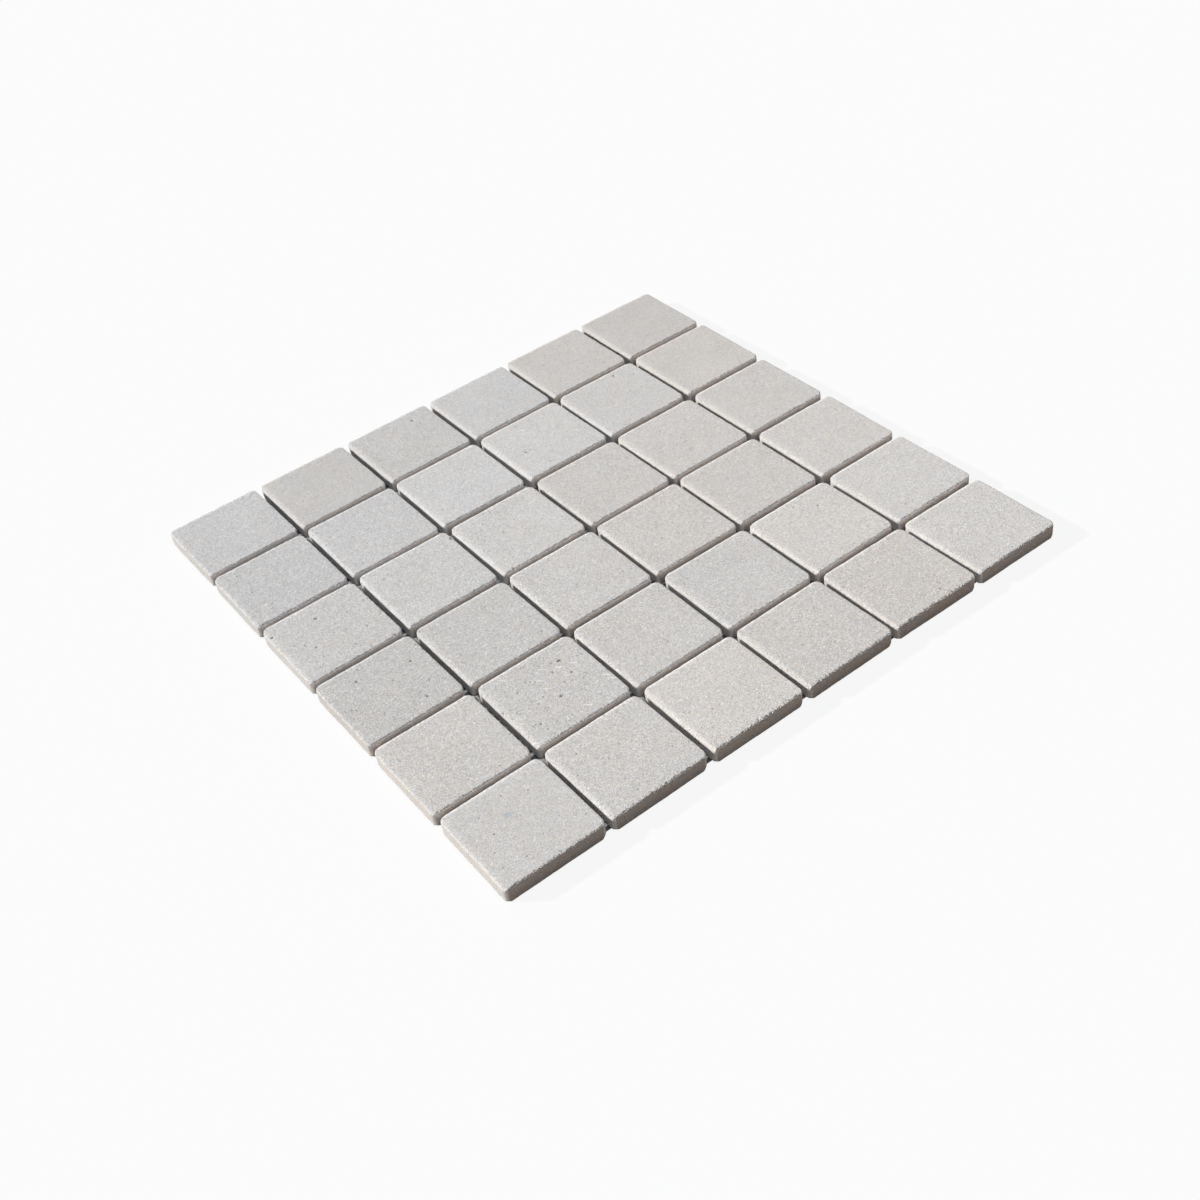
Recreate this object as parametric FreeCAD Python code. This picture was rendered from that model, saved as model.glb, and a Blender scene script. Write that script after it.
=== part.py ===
import FreeCAD, Part
import math
import os

# Mosaic tile sheet: square tumbled stone tiles, laid face up in rows and columns with even joints,
# and held together by a thin glass-fibre net that is glued to their backs.
# Sizes are in millimetres. +Z is up, +X runs along a row of tiles and +Y from one row to the next.
# The origin is at the centre of the net's underside, which is what the sheet lies on.

# Layout of the sheet
rows = 6
columns = 6
joint_width = 2.3

# One tile: a sawn square with its upright corners and its upper edge worn by tumbling
tile_side = 48.5
tile_thickness = 7.5
corner_radius = 3.0
face_arris = 0.7

# The net: two layers of flat threads, the second laid across the first
thread_spacing = 5.08
thread_width = 0.9
thread_thickness = 0.25
net_setback = 3.0

# Places that follow from the sizes above
tile_pitch = tile_side + joint_width
sheet_length = columns * tile_pitch - joint_width
sheet_width = rows * tile_pitch - joint_width
net_length = sheet_length - 2 * net_setback
net_width = sheet_width - 2 * net_setback
upper_threads_height = thread_thickness
tile_back_height = 2 * thread_thickness


def rounded_square(side, radius):
    """Flat face on the XY plane: a square about the origin with four round corners."""
    reach = side / 2
    straight = reach - radius
    arc_middle = reach - radius * (1 - math.sqrt(0.5))
    edges = []
    for quarter in range(4):
        turn = FreeCAD.Rotation(FreeCAD.Vector(0, 0, 1), 90 * quarter)
        side_start = turn.multVec(FreeCAD.Vector(reach, -straight, 0))
        corner_start = turn.multVec(FreeCAD.Vector(reach, straight, 0))
        corner_middle = turn.multVec(FreeCAD.Vector(arc_middle, arc_middle, 0))
        corner_end = turn.multVec(FreeCAD.Vector(straight, reach, 0))
        edges.append(Part.LineSegment(side_start, corner_start).toShape())
        edges.append(Part.Arc(corner_start, corner_middle, corner_end).toShape())
    return Part.Face(Part.Wire(edges))


def face_edges(slab):
    """The edges round the top face of an upright slab."""
    top_face = max(slab.Faces, key=lambda face: face.CenterOfMass.z)
    return top_face.Edges


def tile():
    """One tile about the Z axis, standing on the level of the tiles' backs."""
    blank = rounded_square(tile_side, corner_radius).extrude(FreeCAD.Vector(0, 0, tile_thickness))
    worn = blank.makeChamfer(face_arris, face_edges(blank)).Solids[0]
    return worn.translated(FreeCAD.Vector(0, 0, tile_back_height))


def centred_steps(count, spacing):
    """Positions of a count of things at even spacing, centred on zero."""
    return [(index - (count - 1) / 2) * spacing for index in range(count)]


def threads_across(extent):
    """How many threads an extent of net holds, an even count so that none runs along a middle joint."""
    each_half = math.floor((extent - thread_width) / (2 * thread_spacing) + 0.5)
    return 2 * each_half


def lengthwise_threads():
    """The lower layer of the net: threads along X, side by side and clear of each other."""
    start = FreeCAD.Vector(-net_length / 2, -thread_width / 2, 0)
    thread = Part.makeBox(net_length, thread_width, thread_thickness, start)
    places = centred_steps(threads_across(net_width), thread_spacing)
    return Part.makeCompound([thread.translated(FreeCAD.Vector(0, y, 0)) for y in places])


def crosswise_threads():
    """The upper layer of the net: threads along Y, resting on the lower ones and under the tiles."""
    start = FreeCAD.Vector(-thread_width / 2, -net_width / 2, upper_threads_height)
    thread = Part.makeBox(thread_width, net_width, thread_thickness, start)
    places = centred_steps(threads_across(net_length), thread_spacing)
    return Part.makeCompound([thread.translated(FreeCAD.Vector(x, 0, 0)) for x in places])


os.makedirs("parts", exist_ok=True)

one_tile = tile()
for row, y in enumerate(centred_steps(rows, tile_pitch), start=1):
    for column, x in enumerate(centred_steps(columns, tile_pitch), start=1):
        placed = one_tile.translated(FreeCAD.Vector(x, y, 0))
        placed.exportStep(f"parts/tile_row{row}_column{column}.step")

lengthwise_threads().exportStep("parts/net_lengthwise_threads.step")
crosswise_threads().exportStep("parts/net_crosswise_threads.step")
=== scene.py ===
import math
import random
import bpy
from mathutils import Matrix, Quaternion, Vector


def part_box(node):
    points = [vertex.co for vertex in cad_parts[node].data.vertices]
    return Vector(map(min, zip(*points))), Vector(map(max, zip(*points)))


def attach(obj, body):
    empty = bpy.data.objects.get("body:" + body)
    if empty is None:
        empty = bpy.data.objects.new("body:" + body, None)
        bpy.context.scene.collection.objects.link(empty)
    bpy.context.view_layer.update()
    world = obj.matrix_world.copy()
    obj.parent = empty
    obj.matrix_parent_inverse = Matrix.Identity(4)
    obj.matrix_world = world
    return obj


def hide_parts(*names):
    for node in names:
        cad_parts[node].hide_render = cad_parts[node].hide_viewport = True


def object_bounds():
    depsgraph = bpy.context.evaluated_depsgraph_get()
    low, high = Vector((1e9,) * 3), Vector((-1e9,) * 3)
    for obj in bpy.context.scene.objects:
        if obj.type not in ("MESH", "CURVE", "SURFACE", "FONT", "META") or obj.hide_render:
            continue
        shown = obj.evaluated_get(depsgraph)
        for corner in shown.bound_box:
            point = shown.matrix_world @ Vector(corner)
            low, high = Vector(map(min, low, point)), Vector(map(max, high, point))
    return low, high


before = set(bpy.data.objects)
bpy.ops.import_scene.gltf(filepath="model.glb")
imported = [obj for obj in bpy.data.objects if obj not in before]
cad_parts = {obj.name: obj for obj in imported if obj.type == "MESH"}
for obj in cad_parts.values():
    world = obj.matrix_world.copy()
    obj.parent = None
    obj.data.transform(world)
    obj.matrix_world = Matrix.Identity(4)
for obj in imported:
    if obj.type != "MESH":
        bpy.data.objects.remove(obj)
cad_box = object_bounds()


# The tiles
# Thirty-six squares of fine-grained limestone, sawn to thickness and tumbled with grit. Their left edges are
# worn to a broad soft round, and their front edges are nibbled into small teeth. They are laid by hand, so
# each one sits a little turned and out of its place, and no two have quite the same colour.

class Field:
    """A number, a vector or a geometry in a node tree. Arithmetic on it adds the nodes that work it out."""

    def __init__(self, tree, socket):
        self.tree = tree
        self.socket = socket

    def math(self, operation, *others):
        return result(self.tree, "ShaderNodeMath", enumerate((self, *others)), operation=operation)

    def __add__(self, other):
        return self.math("ADD", other)

    def __sub__(self, other):
        return self.math("SUBTRACT", other)

    def __mul__(self, other):
        return self.math("MULTIPLY", other)

    def __truediv__(self, other):
        return self.math("DIVIDE", other)

    def most(self, other):
        """The larger of the two."""
        return self.math("MAXIMUM", other)

    def least(self, other):
        """The smaller of the two."""
        return self.math("MINIMUM", other)

    def size(self):
        """The number without its sign."""
        return self.math("ABSOLUTE")

    def rest(self):
        """One less this number."""
        return self * -1 + 1

    def within(self, low, high):
        """0 at low, 1 at high, an even slope between, and no change beyond. Low may be the larger."""
        return ramp(self, low, high, "LINEAR")

    def rise(self, low, high):
        """0 at low, 1 at high, a soft slope between, and no change beyond. Low may be the larger."""
        return ramp(self, low, high, "SMOOTHSTEP")


def feed(socket, value):
    """Gives a socket a fixed value, or a wire from a field."""
    if isinstance(value, Field):
        value.tree.links.new(value.socket, socket)
    else:
        socket.default_value = value


def add_node(tree, kind, inputs=(), **settings):
    """A new node of a kind, with its settings made and its inputs fed by name or number."""
    node = tree.nodes.new(kind)
    for name, value in settings.items():
        setattr(node, name, value)
    for key, value in dict(inputs).items():
        feed(node.inputs[key], value)
    return node


def result(tree, kind, inputs=(), output=0, **settings):
    """What a new node gives at one of its outputs."""
    return Field(tree, add_node(tree, kind, inputs, **settings).outputs[output])


def ramp(field, low, high, slope):
    inputs = {"Value": field, "From Min": low, "From Max": high}
    return result(field.tree, "ShaderNodeMapRange", inputs, "Result", interpolation_type=slope)


def vector(tree, x, y, z):
    return result(tree, "ShaderNodeCombineXYZ", enumerate((x, y, z)))


def parts(field):
    """The X, Y and Z of a vector."""
    node = add_node(field.tree, "ShaderNodeSeparateXYZ", {0: field})
    return [Field(field.tree, socket) for socket in node.outputs]


def moved(place, by):
    """A vector with another one added to it."""
    return result(place.tree, "ShaderNodeVectorMath", {0: place, 1: by}, operation="ADD")


def aside(place, metres):
    """A place moved so far along X that two patterns of one kind don't fall together."""
    return moved(place, (metres, 0, 0))


def noise(place, size, detail, roughness=0.5):
    """Cloudy noise about 0, mostly between -1 and 1, whose lumps are about a size across."""
    inputs = {"Vector": place, "Scale": 1 / size, "Detail": detail, "Roughness": roughness}
    return (result(place.tree, "ShaderNodeTexNoise", inputs, "Fac") - 0.5) * 4


def cells(place, size, dimensions="3D"):
    """The distance in metres to the nearest of many scattered points, and three random numbers for it."""
    inputs = {"Vector": place, "Scale": 1 / size}
    node = add_node(place.tree, "ShaderNodeTexVoronoi", inputs, voronoi_dimensions=dimensions)
    distance = Field(place.tree, node.outputs["Distance"]) * size
    return distance, parts(Field(place.tree, node.outputs["Color"]))


def new_tree(name, output, inputs):
    """A geometry tree with one output and named inputs of each kind, and fields of its inputs by name."""
    tree = bpy.data.node_groups.new(name, "GeometryNodeTree")
    for kind, input_names in inputs.items():
        for input_name in input_names:
            tree.interface.new_socket(input_name, in_out="INPUT", socket_type=kind)
    tree.interface.new_socket(output, in_out="OUTPUT", socket_type="NodeSocketGeometry")
    sockets = add_node(tree, "NodeGroupInput").outputs
    return tree, {socket.name: Field(tree, socket) for socket in sockets if socket.name}


def finish_tree(made, given, material):
    """The end of every tree: turn and place, real meshes in place of instances, smooth faces, a material."""
    tree = made.tree
    placing = {"Geometry": made, "Translation": given["Place"], "Rotation": given["Turn"]}
    placed = result(tree, "GeometryNodeTransform", placing)
    real = result(tree, "GeometryNodeRealizeInstances", {0: placed})
    smooth = result(tree, "GeometryNodeSetShadeSmooth", {"Geometry": real})
    clad = result(tree, "GeometryNodeSetMaterial", {"Geometry": smooth, "Material": material})
    add_node(tree, "NodeGroupOutput", {0: clad})


def store(geometry, name, value, kind="FLOAT"):
    """The geometry with a value kept on it, under a name that its material reads."""
    inputs = {"Geometry": geometry, "Name": name, "Value": value}
    return result(geometry.tree, "GeometryNodeStoreNamedAttribute", inputs, data_type=kind)


mm = 0.001
quarter_turn = math.pi / 2

# A tile starts as a flat grid of steps. Its middle becomes the face, and the rings of steps round the middle
# are folded down in turn over the arris, the wall and the back arris, and in under the back.
face_half_steps = 66
margin_rings = 7
arris_rings = 6
wall_rings = 21
back_arris_rings = 3
under_rings = 1
all_rings = margin_rings + arris_rings + wall_rings + back_arris_rings + under_rings
steps_across = 2 * (face_half_steps + all_rings)
margin_crowding = 1.6
under_reach = 0.4 * mm
weld_distance = 0.001 * mm

# The corner radius is worn to 0.75 of its size at the left front corner, to 1.05 at the right rear one and
# to 1.15 at the other two, from this middle value, slope and twist.
corner_wear_middle = 1.025
corner_wear_slope = 0.075
corner_wear_twist = 0.125

# How far a wall's direction points to a side where that side's wear begins, and where it is full
left_wear_begins = 0.6
side_wear_begins = 0.75
side_wear_full = 0.97

# How unevenly and how much wider the arrises are worn, and the widest ones as shares of the corner radius
arris_unevenness = 0.3
left_arris_wear = 1.1
rear_arris_wear = 0.8
widest_arris = 0.7
corner_back_arris_wear = 2.5
widest_back_arris = 0.6

# Depths of the waves, grit and dents in the outline and the face, and what is worn off all over
long_wave_depth = 0.09 * mm
short_wave_depth = 0.05 * mm
outline_inset = 0.16 * mm
grit_depth = 0.05 * mm
swelling_depth = 0.035 * mm
ripple_depth = 0.008 * mm
dent_depth = 0.025 * mm
face_inset = 0.08 * mm

round_unevenness = 0.15
rear_round_width = 1.3 * mm
rear_round_depth = 0.14 * mm


def soft_rounds(inward, radius, rim_spot, at_left, at_rear, left_depth):
    """How far the face falls towards its left edge, softly, and towards its rear edge, more narrowly."""
    uneven = noise(rim_spot, 6 * mm, 2) * round_unevenness + 1
    left = (inward / radius).rest().most(0)
    rear = (inward / rear_round_width).rest().most(0)
    left_drop = left * left * at_left * left_depth * uneven
    return left_drop + rear * rear * at_rear * rear_round_depth


# Widths and depths of the teeth and flakes. The depths are in millimetres, at a tile's strength of 1.
tooth_width = 0.7 * mm
tooth_depth = 1.3
stretch_width = 7 * mm
stretch_depth = 0.35
common_depth = 0.5
teeth_off_front = 0.08
flake_width = 5 * mm
flake_depth = 1.8
flake_rarity = 0.75


def chipping(spot, rim_spot, inward, downward, at_left, at_front, strength):
    """How deep the upper edge is bitten: small teeth along the front, and flakes, but none on the left."""
    fine_teeth = noise(spot, tooth_width, 1) * tooth_depth
    deeper_stretches = noise(rim_spot, stretch_width, 2) * stretch_depth
    teeth = fine_teeth + deeper_stretches + common_depth
    teeth = teeth * (at_front * (1 - teeth_off_front) + teeth_off_front)
    flakes = (noise(aside(rim_spot, 9), flake_width, 1) - flake_rarity).most(0) * flake_depth
    bite = (teeth + flakes * at_left.rest()) * strength * mm
    return (bite - inward - downward).most(0) * 0.5


# A pit's radius and depth are the least ones and a random part of the ranges
pit_spacing = 3.0 * mm
smallest_pit_radius = 0.3 * mm
pit_radius_range = 0.8 * mm
shallowest_pit = 0.25 * mm
pit_depth_range = 0.4 * mm
pit_raggedness = 0.25 * mm


def pits(spot, rim_spot, pitting):
    """How much a place lies in a pit, from 0 to 1, and how deep that pit is."""
    ragged_x = noise(spot, 0.9 * mm, 1) * pit_raggedness
    ragged_y = noise(rim_spot, 1.1 * mm, 1) * pit_raggedness
    ragged_spot = moved(spot, vector(spot.tree, ragged_x, ragged_y, 0))
    crowding = noise(aside(spot, 7), 16 * mm, 1) * 0.4 + 1
    distance, (chance, size, depth) = cells(ragged_spot, pit_spacing)
    there = (pitting * crowding - chance).rise(0, 0.02)
    radius = size * size * pit_radius_range + smallest_pit_radius
    return (distance / radius).rise(1, 0.55) * there, depth * pit_depth_range + shallowest_pit


def closed_below(folded):
    """The folded tile with one flat face that closes the opening under its back."""
    tree = folded.tree
    open_edges = result(tree, "GeometryNodeInputMeshEdgeNeighbors").math("LESS_THAN", 2)
    outline = result(tree, "GeometryNodeMeshToCurve", {"Mesh": folded, "Selection": open_edges})
    filled = result(tree, "GeometryNodeFillCurve", {"Curve": outline}, mode="NGONS")
    flipped = result(tree, "GeometryNodeFlipFaces", {"Mesh": filled})
    joining = add_node(tree, "GeometryNodeJoinGeometry")
    feed(joining.inputs[0], flipped)
    feed(joining.inputs[0], folded)
    joined = Field(tree, joining.outputs[0])
    return result(tree, "GeometryNodeMergeByDistance", {"Geometry": joined, "Distance": weld_distance})


def worn_tile_tree():
    """Geometry nodes that make one worn tile, standing on the level of its back."""
    looks = ("Tone", "Warmth", "Graininess", "Specks", "Scratches", "Stain", "Painted Joint Light")
    shape = ("Side", "Thickness", "Corner Radius", "Face Arris", "Back Arris", "Left Round", "Front Teeth")
    tree, given = new_tree("worn tile", "Tile", {
        "NodeSocketFloat": (*shape, "Pitting", *looks),
        "NodeSocketVector": ("Block", "Place", "Turn"),
        "NodeSocketMaterial": ("Stone",),
    })
    thickness = given["Thickness"]
    grid = result(tree, "GeometryNodeMeshGrid", {
        "Size X": steps_across,
        "Size Y": steps_across,
        "Vertices X": steps_across + 1,
        "Vertices Y": steps_across + 1,
    }, "Mesh")
    step_x, step_y, _ = parts(result(tree, "GeometryNodeInputPosition"))

    # Each step has a base on the straight part of the tile and a direction out from it
    past_x = (step_x.size() - face_half_steps).most(0)
    past_y = (step_y.size() - face_half_steps).most(0)
    ring = past_x.most(past_y)
    past = (past_x * past_x + past_y * past_y).math("SQRT").most(0.001)
    out_x = past_x / past * step_x.math("SIGN")
    out_y = past_y / past * step_y.math("SIGN")
    share_x = step_x.most(-face_half_steps).least(face_half_steps) / face_half_steps
    share_y = step_y.most(-face_half_steps).least(face_half_steps) / face_half_steps
    corner_slope = share_x * corner_wear_slope + share_y * corner_wear_slope
    corner_wear = corner_slope - share_x * share_y * corner_wear_twist + corner_wear_middle
    radius = given["Corner Radius"] * corner_wear
    straight = given["Side"] / 2 - radius
    base_x = share_x * straight
    base_y = share_y * straight

    def out_by(reach, height):
        return vector(tree, base_x + out_x * reach, base_y + out_y * reach, height)

    def progress(rings_before, rings):
        return ring.within(rings_before, rings_before + rings)

    on_margin = progress(0, margin_rings).rest().math("POWER", margin_crowding).rest()
    on_arris = progress(margin_rings, arris_rings)
    on_wall = progress(margin_rings + arris_rings, wall_rings)
    on_back_arris = progress(margin_rings + arris_rings + wall_rings, back_arris_rings)
    on_under = progress(all_rings - under_rings, under_rings)

    rim_spot = moved(out_by(radius, 0), given["Block"])
    at_left = (out_x * -1).rise(left_wear_begins, side_wear_full)
    at_front = (out_y * -1).rise(side_wear_begins, side_wear_full)
    at_rear = out_y.rise(side_wear_begins, side_wear_full)
    at_corner = (out_x * out_y).size() * 2 * (corner_wear - 0.3)

    # The fold itself: how far out and how high each step comes to lie
    uneven_arris = (noise(rim_spot, 2.6 * mm, 3) * arris_unevenness + 1).most(0.5)
    arris_wear = at_left * left_arris_wear + at_rear * rear_arris_wear + at_corner + 1
    arris = (given["Face Arris"] * uneven_arris * arris_wear).least(radius * widest_arris)
    back_wear = at_corner * corner_back_arris_wear + 1
    back = (given["Back Arris"] * back_wear).least(radius * widest_back_arris)
    turned = on_arris * quarter_turn
    back_turned = on_back_arris * quarter_turn
    top_reach = (radius - arris) * on_margin + arris * turned.math("SINE")
    inward = radius - top_reach
    round_drop = soft_rounds(inward, radius, rim_spot, at_left, at_rear, given["Left Round"])
    wall_height = thickness - arris - back - round_drop
    reach = top_reach - back * back_turned.math("COSINE").rest() - on_under * under_reach
    height = thickness - round_drop - arris * turned.math("COSINE").rest() - wall_height * on_wall
    height = height - back * back_turned.math("SINE")

    # The wear on top of the fold
    spot = moved(out_by(reach, height), given["Block"])
    downward = thickness - height
    chip = chipping(spot, rim_spot, inward, downward, at_left, at_front, given["Front Teeth"])
    in_pit, depth_of_pit = pits(spot, rim_spot, given["Pitting"])
    in_pit = in_pit * on_arris.rest()
    long_waves = noise(rim_spot, 15 * mm, 1) * long_wave_depth
    short_waves = noise(rim_spot, 4 * mm, 2) * short_wave_depth
    wavy = long_waves + short_waves + outline_inset
    gritty = noise(spot, 1.6 * mm, 3) * grit_depth * on_arris * (at_left * -0.5 + 1)
    reach = reach - (wavy * on_margin + gritty).most(0) - chip
    uneven = noise(spot, 14 * mm, 2) * swelling_depth + noise(spot, 1.5 * mm, 2) * ripple_depth
    dented = noise(spot, 2.2 * mm, 2) * dent_depth * at_left * on_margin
    height = height - chip - (uneven + dented + face_inset) * on_arris.rest() - in_pit * depth_of_pit
    height = height.least(thickness)

    marks = {
        "in_pit": in_pit,
        "front_wall": at_front * on_arris.rise(0.3, 0.9) * on_under.rest(),
        "from_front": inward / mm + (at_front.rest() + on_under) * 5,
        # Painted highlight along the rear arris and the face just inside it
        "painted_rear_highlight": at_rear * inward.rise(1.6 * mm, 1.15 * mm) * on_wall.rest(),
        "wall_top": downward.within(3.2 * mm, 0.4 * mm),
        "wall_foot": downward.within(3 * mm, 7 * mm),
        "on_wall": on_wall.within(0, 0.1),
    }
    marked = grid
    for name, value in marks.items():
        marked = store(marked, name, value)
    folding = {"Geometry": marked, "Position": out_by(reach, height)}
    made = closed_below(result(tree, "GeometryNodeSetPosition", folding))
    for name in looks:
        made = store(made, name.lower().replace(" ", "_"), given[name])
    made = store(made, "block", given["Block"], "FLOAT_VECTOR")
    finish_tree(made, given, given["Stone"])
    return tree


def grow(name, tree, values, keep_share=1.0):
    """A plain mesh object that a tree grows from values for its inputs, thinned to a share of its faces."""
    seedling = bpy.data.objects.new(name + "_seedling", bpy.data.meshes.new(name + "_seedling"))
    bpy.context.scene.collection.objects.link(seedling)
    modifier = seedling.modifiers.new("grow", "NODES")
    modifier.node_group = tree
    for socket in tree.interface.items_tree:
        if socket.in_out == "INPUT":
            modifier[socket.identifier] = values[socket.name]
    if keep_share < 1:
        seedling.modifiers.new("thin", "DECIMATE").ratio = keep_share
    bpy.context.view_layer.update()
    evaluated = seedling.evaluated_get(bpy.context.evaluated_depsgraph_get())
    mesh = bpy.data.meshes.new_from_object(evaluated)
    mesh.name = name
    bpy.data.objects.remove(seedling)
    piece = bpy.data.objects.new(name, mesh)
    bpy.context.scene.collection.objects.link(piece)
    return piece


def new_material(name):
    """A material, its node tree and its shader."""
    material = bpy.data.materials.new(name)
    material.use_nodes = True
    return material, material.node_tree, material.node_tree.nodes["Principled BSDF"]


def object_place(tree):
    """The place on the object, in metres."""
    return result(tree, "ShaderNodeTexCoord", output="Object")


def kept(tree, name, output="Fac"):
    """A value that the tile's tree has kept on the mesh under a name."""
    return result(tree, "ShaderNodeAttribute", output=output, attribute_name=name)


def colour_of(tree, red, green, blue):
    return result(tree, "ShaderNodeCombineColor", enumerate((red, green, blue)))


def roughen(shader, strength, height):
    """Makes a shader's surface look as uneven as a height in metres."""
    inputs = {"Strength": strength, "Distance": 1.0, "Height": height}
    feed(shader.inputs["Normal"], result(height.tree, "ShaderNodeBump", inputs))


speck_spacing = 1.6 * mm
smallest_speck_radius = 0.16 * mm
speck_radius_range = 0.3 * mm
common_specks = 0.12
rusty_speck_spacing = 7 * mm
blue_stain_spacing = 24 * mm
scratch_spacing = 2.2 * mm
scale_over_scratch = 0.7
scale_along_scratch = 0.09
scratch_bend = 0.5 * mm


def dark_specks(spot):
    """How much a place lies in a dark speck, and a random number for how earthy that speck is."""
    distance, (chance, size, kind) = cells(aside(spot, 4), speck_spacing)
    inside = (distance / (size * speck_radius_range + smallest_speck_radius)).rise(1.2, 0.8)
    return inside * (kept(spot.tree, "specks") + common_specks - chance).rise(0, 0.04), kind


def rusty_specks(spot):
    """How much a place lies in one of the sparse rusty specks."""
    distance, (chance, _, _) = cells(aside(spot, 5), rusty_speck_spacing)
    return distance.rise(0.7 * mm, 0.3 * mm) * chance.rise(0.9, 0.92)


def blue_stains(spot, sand):
    """How much a place lies in one of the rare bluish stains, whose outlines are sandy."""
    distance, (chance, _, _) = cells(aside(spot, 8), blue_stain_spacing)
    return (distance + sand * (0.3 * mm)).rise(2.5 * mm, 1.5 * mm) * chance.rise(0.94, 0.95)


def scratches(spot, sand):
    """How much a place lies in a scratch: cells drawn out along one diagonal, a little bent and sandy."""
    along, across, _ = parts(spot)
    bent = noise(aside(spot, 12), 9 * mm, 1) * scratch_bend
    over = (along + across) * scale_over_scratch + bent
    drawn_out = vector(spot.tree, over, (along - across) * scale_along_scratch, 0.0)
    distance, (chance, _, _) = cells(drawn_out, scratch_spacing, "2D")
    inside = (distance + sand * (0.04 * mm)).rise(0.34 * mm, 0.2 * mm)
    return inside * (kept(spot.tree, "scratches") - chance).rise(0, 0.02)


# The stone's colour at full light, and by how much each pattern makes it lighter or darker
stone_red = 0.588
stone_green = 0.571
stone_blue = 0.558
cloud_strength = 0.025
mottling_strength = 0.02
sand_strength = 0.012
grain_strength = 0.045
dust_strength = 0.74
dark_grain_strength = 0.05
light_grain_strength = 0.16
speck_shade = 0.36
stain_shade = 0.16
scratch_light = 0.36
pit_shade = 0.45
# Painted shade in the teeth along the front edge
painted_tooth_shade = 0.4
# Painted shade at the foot of the front walls
painted_foot_shade = 0.33
# Painted highlight along the rear arris
rear_highlight_strength = 0.34
wall_smoothness = 0.6

# By how much each pattern makes it warmer, and what warmth, earth and painted warm shade do to the colours
tint_warmth = 0.35
dust_warmth = 9
rust_warmth = 3
earth_and_shade_warmth = 2
stain_coolness = 3
warm_red = 0.016
warm_green = -0.004
warm_blue = -0.03
earth_and_shade_darkness = 0.05

# How deep the patterns look
sand_relief = 0.013 * mm
grain_relief = 0.012 * mm
dark_grain_relief = 0.03 * mm
speck_relief = 0.1 * mm


def stone_material():
    """Pale limestone: soft clouds, a fine sandy grain, and sparse dark, light and rusty specks."""
    material, tree, shader = new_material("tumbled limestone")
    spot = moved(object_place(tree), kept(tree, "block", "Vector"))
    along, across, deep = parts(spot)
    brushed = vector(tree, along * 0.6, across, deep)
    clouds = noise(spot, 24 * mm, 3)
    mottling = noise(aside(spot, 1), 5 * mm, 3)
    sand = noise(aside(brushed, 2), 0.9 * mm, 3, 0.75)
    tint = noise(aside(spot, 3), 17 * mm, 2)
    _, (grain, grain_kind, _) = cells(aside(brushed, 6), 0.6 * mm)
    _, (dust, dust_tint, _) = cells(aside(spot, 10), 0.22 * mm)
    dark_grain = grain_kind.rise(0.93, 0.94)
    light_grain = grain_kind.rise(0.05, 0.04)
    dark_speck, speck_kind = dark_specks(spot)
    rusty_speck = rusty_specks(spot)
    blue_stain = blue_stains(spot, sand)
    scratch = scratches(spot, sand)

    # Painted shade in teeth along the front edge. On the front walls in the joints, painted light at the top
    # and a little painted shade below it, and on all front walls, painted shade that deepens towards the
    # foot
    front_wall = kept(tree, "front_wall")
    in_pit = kept(tree, "in_pit")
    # Painted shade in small teeth along the front edge of the face
    spiky = aside(vector(tree, along, across * 0.5, deep), 11)
    tooth_shadow_pattern = noise(spiky, 0.55 * mm, 1) * 0.8 + 0.5
    painted_tooth_shadow = (tooth_shadow_pattern - kept(tree, "from_front") * 0.7).rise(0, 0.12)
    # Painted light at the top of the front walls in the joints, and a little painted shade below it
    joint_light_painting = kept(tree, "painted_joint_light") * front_wall * (kept(tree, "wall_top") * 2.4 - 0.3)
    # Painted shade that deepens towards the foot of every front wall
    painted_foot_shadow = front_wall * kept(tree, "wall_foot")
    smooth_walls = front_wall.most(kept(tree, "on_wall")) * -wall_smoothness + 1
    # Painted highlight along the rear arris
    painted_rear_highlight = kept(tree, "painted_rear_highlight") * rear_highlight_strength + 1

    speckle = sand * sand_strength + (grain - 0.5) * grain_strength + (dust - 0.5) * dust_strength
    speckle = speckle - dark_grain * dark_grain_strength + light_grain * light_grain_strength
    speckle = speckle * kept(tree, "graininess") * smooth_walls
    light = kept(tree, "tone") + clouds * cloud_strength + mottling * mottling_strength + speckle
    light = light - dark_speck * speck_shade - blue_stain * stain_shade + scratch * scratch_light
    light = light * (in_pit * -pit_shade + 1) * (painted_tooth_shadow * -painted_tooth_shade + 1) * painted_rear_highlight
    light = light * (joint_light_painting + 1) * (painted_foot_shadow * -painted_foot_shade + 1)

    # Earthier in pits and specks; on the front walls a brown tint, partly a stain and partly painted warm
    # shade
    earth_and_warm_shade = (kept(tree, "stain") * front_wall).most(in_pit).most(rusty_speck).most(dark_speck * speck_kind)
    warmth = kept(tree, "warmth") + tint * tint_warmth + (dust_tint - 0.5) * dust_warmth
    warmth = warmth + rusty_speck * rust_warmth + earth_and_warm_shade * earth_and_shade_warmth - blue_stain * stain_coolness
    earth_and_shade_factor = earth_and_warm_shade * -earth_and_shade_darkness + 1
    red = light * (warmth * warm_red + 1) * stone_red
    green = light * earth_and_shade_factor * (warmth * warm_green + 1) * stone_green
    blue = light * (warmth * warm_blue + 1) * earth_and_shade_factor * stone_blue
    feed(shader.inputs["Base Color"], colour_of(tree, red, green, blue))
    feed(shader.inputs["Roughness"], (sand * 0.04 + 0.86).least(1))
    shader.inputs["Specular IOR Level"].default_value = 0.2
    raised = sand * sand_relief + grain * grain_relief
    roughen(shader, 1.0, raised - dark_grain * dark_grain_relief - dark_speck * speck_relief)
    return material


stone = stone_material()
tile_tree = worn_tile_tree()
rows = 6
columns = 6
triangles_a_tile = 23500
grid_triangles = 2 * steps_across ** 2
laid_by = random.Random(36)

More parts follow.
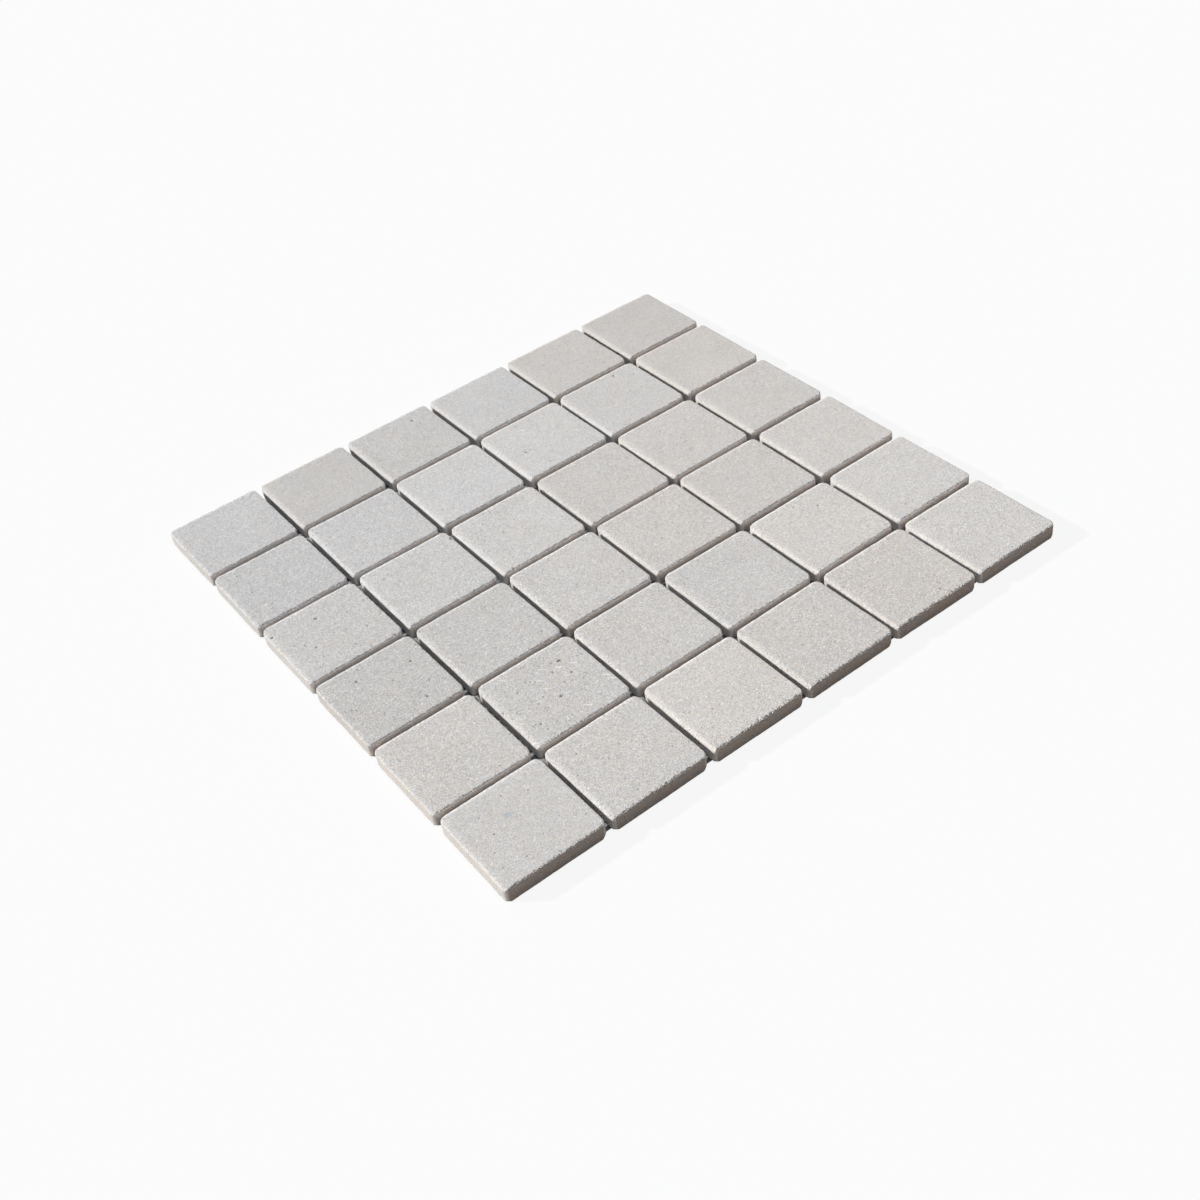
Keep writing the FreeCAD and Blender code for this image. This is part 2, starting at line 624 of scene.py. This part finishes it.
# Rows are counted from the front and columns from the left. A number is the share of a tile's places for
# pits or scratches that have one.
bluish_tiles = {(6, 1), (6, 4), (5, 1), (5, 2), (5, 3), (5, 4), (4, 2), (2, 4), (2, 6), (1, 6)}
beige_tiles = {(6, 2), (6, 5), (6, 6), (5, 6), (4, 4), (3, 4), (3, 5), (2, 1), (2, 5), (1, 3), (1, 5)}
darker_tiles = {(6, 2), (6, 3), (5, 1), (3, 1), (3, 2), (6, 5), (6, 6)}
lighter_tiles = {(5, 3), (5, 4), (4, 2), (4, 3), (3, 6), (2, 5), (2, 6), (1, 3), (1, 6)}
fine_grained_tiles = {(1, 1), (6, 2)}
pitted_tiles = {(6, 3): 0.05, (4, 1): 0.09, (4, 3): 0.07, (3, 1): 0.03, (2, 2): 0.3}
scratched_tiles = {(5, 4): 0.12, (2, 2): 0.28}


def keep_inside(mesh, low, high):
    """Shifts a mesh back where it stands out of a box."""
    points = [vertex.co for vertex in mesh.vertices]
    shift = [
        max(0, low[axis] - min(point[axis] for point in points))
        + min(0, high[axis] - max(point[axis] for point in points))
        for axis in range(3)
    ]
    mesh.transform(Matrix.Translation(shift))


def lay_tile(row, column):
    """Makes the tile of a row and a column, turned and shifted a little, inside the sheet's own outline."""
    node = f"tile_row{row}_column{column}"
    low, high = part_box(node)
    middle = (low + high) / 2
    here = (row, column)

    # Tiles get cooler towards the back left and less grainy towards the back right, and painted shade makes
    # them a little darker towards the back left
    to_back_left = (row - 1 + columns - column) / (rows + columns - 2)
    to_back_right = (row - 1 + column - 1) / (rows + columns - 2)
    graininess = min(1.1, 1.5 - 0.9 * to_back_right) - 0.25 * (here in fine_grained_tiles)
    warmth = 0.9 - 1.1 * to_back_left + laid_by.uniform(-0.15, 0.15)
    warmth += 0.4 * (here in beige_tiles) - 0.4 * (here in bluish_tiles)
    # Painted shade makes tiles a little darker towards the back left; the rest is their own tone
    tone = 1.03 - 0.02 * to_back_left + laid_by.uniform(-0.02, 0.02)
    tone += 0.045 * (here in lighter_tiles) - 0.045 * (here in darker_tiles)
    pitting = pitted_tiles.get(here, laid_by.choice((0.0, 0.01, 0.02)))
    piece = grow(
        f"worn_tile_row{row}_column{column}",
        tile_tree,
        {
            "Side": high.x - low.x - laid_by.uniform(0, 0.3) * mm,
            "Thickness": high.z - low.z - laid_by.uniform(0.05, 0.2) * mm,
            "Corner Radius": laid_by.uniform(2.6, 3.4) * mm,
            "Face Arris": laid_by.uniform(0.4, 0.5) * mm,
            "Back Arris": 0.55 * mm,
            "Left Round": laid_by.uniform(0.5, 0.7) * (0.5 if column == 1 else 1) * mm,
            "Front Teeth": laid_by.uniform(0.75, 1.25) * (1 if row == 1 else 0.75),
            "Pitting": pitting,
            "Tone": tone,
            "Warmth": warmth,
            "Graininess": graininess,
            "Specks": pitting,
            "Scratches": scratched_tiles.get(here, 0.0),
            # On the front walls, a brown tint that is partly a stain and partly painted warm shade
            "Stain": 1.0 if row == 1 else 0.7,
            # Painted light on the front walls in the joints, for every row behind the first
            "Painted Joint Light": 0.0 if row == 1 else 0.4,
            "Block": [laid_by.uniform(-4, 4) for _ in range(3)],
            "Place": (
                middle.x + laid_by.uniform(-0.28, 0.28) * mm,
                middle.y + laid_by.uniform(-0.28, 0.28) * mm,
                low.z,
            ),
            "Turn": (0, 0, math.radians(laid_by.uniform(-0.35, 0.35))),
            "Stone": stone,
        },
        triangles_a_tile / grid_triangles,
    )
    keep_inside(piece.data, *cad_box)
    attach(piece, "root")
    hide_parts(node)


for row in range(1, rows + 1):
    for column in range(1, columns + 1):
        lay_tile(row, column)


# The net
# An open scrim of white glass-fibre yarn: flat threads one way, and the same the other way laid across them.
# The crossings are bonded, and the tiles' backs are glued to the upper threads.

def thread_layer_tree():
    """Geometry nodes that make one layer of the net: flat threads along X, side by side."""
    tree, given = new_tree("thread layer", "Layer", {
        "NodeSocketFloat": ("Length", "Width", "Thickness", "Spacing", "Sway"),
        "NodeSocketInt": ("Threads", "Segments"),
        "NodeSocketVector": ("Place", "Turn"),
        "NodeSocketMaterial": ("Yarn",),
    })
    spacing = given["Spacing"]
    thread = result(tree, "GeometryNodeMeshCube", {
        "Size": vector(tree, given["Length"], given["Width"], given["Thickness"]),
        "Vertices X": given["Segments"],
    }, "Mesh")
    first_lane = spacing * (given["Threads"] - 1) * -0.5
    lanes = result(tree, "GeometryNodeMeshLine", {
        "Count": given["Threads"],
        "Start Location": vector(tree, 0.0, first_lane, 0.0),
        "Offset": vector(tree, 0.0, spacing, 0.0),
    }, mode="OFFSET")
    laid = result(tree, "GeometryNodeInstanceOnPoints", {"Points": lanes, "Instance": thread})
    real = result(tree, "GeometryNodeRealizeInstances", {0: laid})

    # Each thread sways about its lane, and is a little narrower in places
    along, across, up = parts(result(tree, "GeometryNodeInputPosition"))
    lane = (across / spacing + 0.5).math("FLOOR") * spacing
    wander = vector(tree, along, lane * 7, 0.0)
    middle = lane + noise(wander, 60 * mm, 2) * given["Sway"]
    plump = (noise(wander, 9 * mm, 2) * 0.14 + 0.86).least(1)
    swaying = {"Geometry": real, "Position": vector(tree, along, middle + (across - lane) * plump, up)}
    finish_tree(result(tree, "GeometryNodeSetPosition", swaying), given, given["Yarn"])
    return tree


def yarn_material():
    """White glass-fibre yarn in a clear binder: fine filaments side by side along the thread."""
    material, tree, shader = new_material("glass-fibre yarn")
    where = object_place(tree)
    x, y, z = parts(where)
    upper = z.rise(0.24 * mm, 0.26 * mm)
    along = x * upper.rest() + y * upper
    across = y * upper.rest() + x * upper
    filament = noise(vector(tree, along * 0.04, across, z), 0.14 * mm, 2)
    dull = noise(where, 12 * mm, 2)
    shade = filament * 0.05 + dull * 0.02 + 0.76
    feed(shader.inputs["Base Color"], colour_of(tree, shade, shade, shade * 0.96))
    shader.inputs["Roughness"].default_value = 0.55
    roughen(shader, 0.6, filament * (0.02 * mm))
    return material


yarn = yarn_material()
thread_tree = thread_layer_tree()
thread_spacing = 5.08 * mm
thread_width = 0.9 * mm
thread_sway = 0.12 * mm
threads_a_layer = 58
segments_a_mesh = 2


def lay_threads(node, turned):
    """One layer of threads where the node's threads are, along X or turned to run along Y."""
    low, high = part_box(node)
    layer = grow(
        node + "_yarn",
        thread_tree,
        {
            "Length": (high.y - low.y) if turned else (high.x - low.x),
            "Width": thread_width,
            "Thickness": high.z - low.z,
            "Spacing": thread_spacing,
            "Threads": threads_a_layer,
            "Segments": segments_a_mesh * threads_a_layer + 1,
            "Sway": thread_sway,
            "Turn": (0, 0, quarter_turn if turned else 0),
            "Place": (low + high) / 2,
            "Yarn": yarn,
        },
    )
    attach(layer, "root")
    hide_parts(node)


lay_threads("net_lengthwise_threads", False)
lay_threads("net_crosswise_threads", True)


# The floor and the light
# A wide pale floor has a faint soft shadow beside the sheet and a deep painted shadow under it. A low warm
# lamp stands behind the sheet's left side, a wide pale one stands high over its front, and the room adds an
# even light. Together they show a colour about as it is.

floor_reach = 40.0
# Where the painted shadow under the sheet is full, and where it has faded out
painted_shadow_reach = 0.1475
painted_shadow_fade_reach = 0.1480
floor_glow = 0.87
floor_seen_grey = 0.10
floor_bounce = (0.43, 0.365, 0.295)
# The colour of the painted shadow under the sheet
painted_shadow_under_sheet = (0.10, 0.11, 0.13)
room_backdrop = 0.97
room_glow = (0.18, 0.20, 0.228)


def seen_directly(tree):
    """1 for what the camera sees, also in gloss or through glass, and 0 for light that falls on things."""
    path = add_node(tree, "ShaderNodeLightPath")
    names = ("Is Camera Ray", "Is Glossy Ray", "Is Transmission Ray")
    camera_ray, gloss, glass = [Field(tree, path.outputs[name]) for name in names]
    return (camera_ray + gloss + glass).least(1)


def floor_material():
    """A floor nearly white in the open that throws a warm light, with a painted shadow under the sheet."""
    material, tree, shader = new_material("pale floor")
    seen = seen_directly(tree)
    x, y, _ = parts(object_place(tree))
    # 1 outside the painted shadow under the sheet, 0 under it
    outside_painted_shadow = (x.size().most(y.size())).rise(painted_shadow_reach, painted_shadow_fade_reach)
    channels = [
        outside_painted_shadow * (seen * (floor_seen_grey - bounced) + (bounced - shaded)) + shaded
        for bounced, shaded in zip(floor_bounce, painted_shadow_under_sheet)
    ]
    feed(shader.inputs["Base Color"], colour_of(tree, *channels))
    shader.inputs["Roughness"].default_value = 1.0
    shader.inputs["Specular IOR Level"].default_value = 0.0
    shader.inputs["Emission Color"].default_value = (1, 1, 1, 1)
    feed(shader.inputs["Emission Strength"], seen * outside_painted_shadow * floor_glow)
    return material


def far_lamp(name, strength, colour, width, height, side):
    """A lamp so far off that its light is parallel. Width, height and side are in degrees, and the side is
    counted from the sheet's left towards its back."""
    lamp = bpy.data.lights.new(name, "SUN")
    lamp.energy = strength
    lamp.color = colour
    lamp.angle = math.radians(width)
    lamp_object = bpy.data.objects.new(name, lamp)
    height, side = math.radians(height), math.radians(side)
    comes_from = Vector((
        -math.cos(height) * math.cos(side),
        math.cos(height) * math.sin(side),
        math.sin(height),
    ))
    lamp_object.rotation_mode = "QUATERNION"
    lamp_object.rotation_quaternion = comes_from.to_track_quat("Z", "Y")
    bpy.context.scene.collection.objects.link(lamp_object)


floor_corners = [(x * floor_reach, y * floor_reach, 0) for x, y in ((-1, -1), (1, -1), (1, 1), (-1, 1))]
floor_mesh = bpy.data.meshes.new("floor")
floor_mesh.from_pydata(floor_corners, [], [(0, 1, 2, 3)])
floor_mesh.materials.append(floor_material())
floor = bpy.data.objects.new("floor", floor_mesh)
bpy.context.scene.collection.objects.link(floor)

room = bpy.data.worlds.new("studio")
room.use_nodes = True
room_tree = room.node_tree
room_seen = seen_directly(room_tree)
room_channels = [room_seen * (room_backdrop - falling) + falling for falling in room_glow]
feed(room_tree.nodes["Background"].inputs["Color"], colour_of(room_tree, *room_channels))
bpy.context.scene.world = room

far_lamp("low lamp", strength=3.6, colour=(1.0, 0.982, 0.955), width=3, height=25, side=38)
far_lamp("high lamp", strength=1.11, colour=(0.985, 0.98, 0.965), width=25, height=74, side=-90)


# The camera
# It looks down over the corner of the sheet's first tile from about 0.6 m, turned a little about its own
# line of sight, so that the sheet seems to rise to the right.

camera_place = Vector((-0.28438, -0.48851, 0.45155))
camera_aim = Vector((-0.01201, -0.06110, 0.008))
camera_roll = math.radians(8.415)
camera = bpy.data.cameras.new("camera")
camera.lens = 45.536
camera.shift_x = -0.0417
camera_object = bpy.data.objects.new("camera", camera)
bpy.context.scene.collection.objects.link(camera_object)
camera_object.location = camera_place
look = (camera_aim - camera_place).normalized()
camera_object.rotation_mode = "QUATERNION"
camera_object.rotation_quaternion = Quaternion(look, camera_roll) @ look.to_track_quat("-Z", "Y")
bpy.context.scene.camera = camera_object
bpy.context.scene.view_settings.view_transform = "Standard"
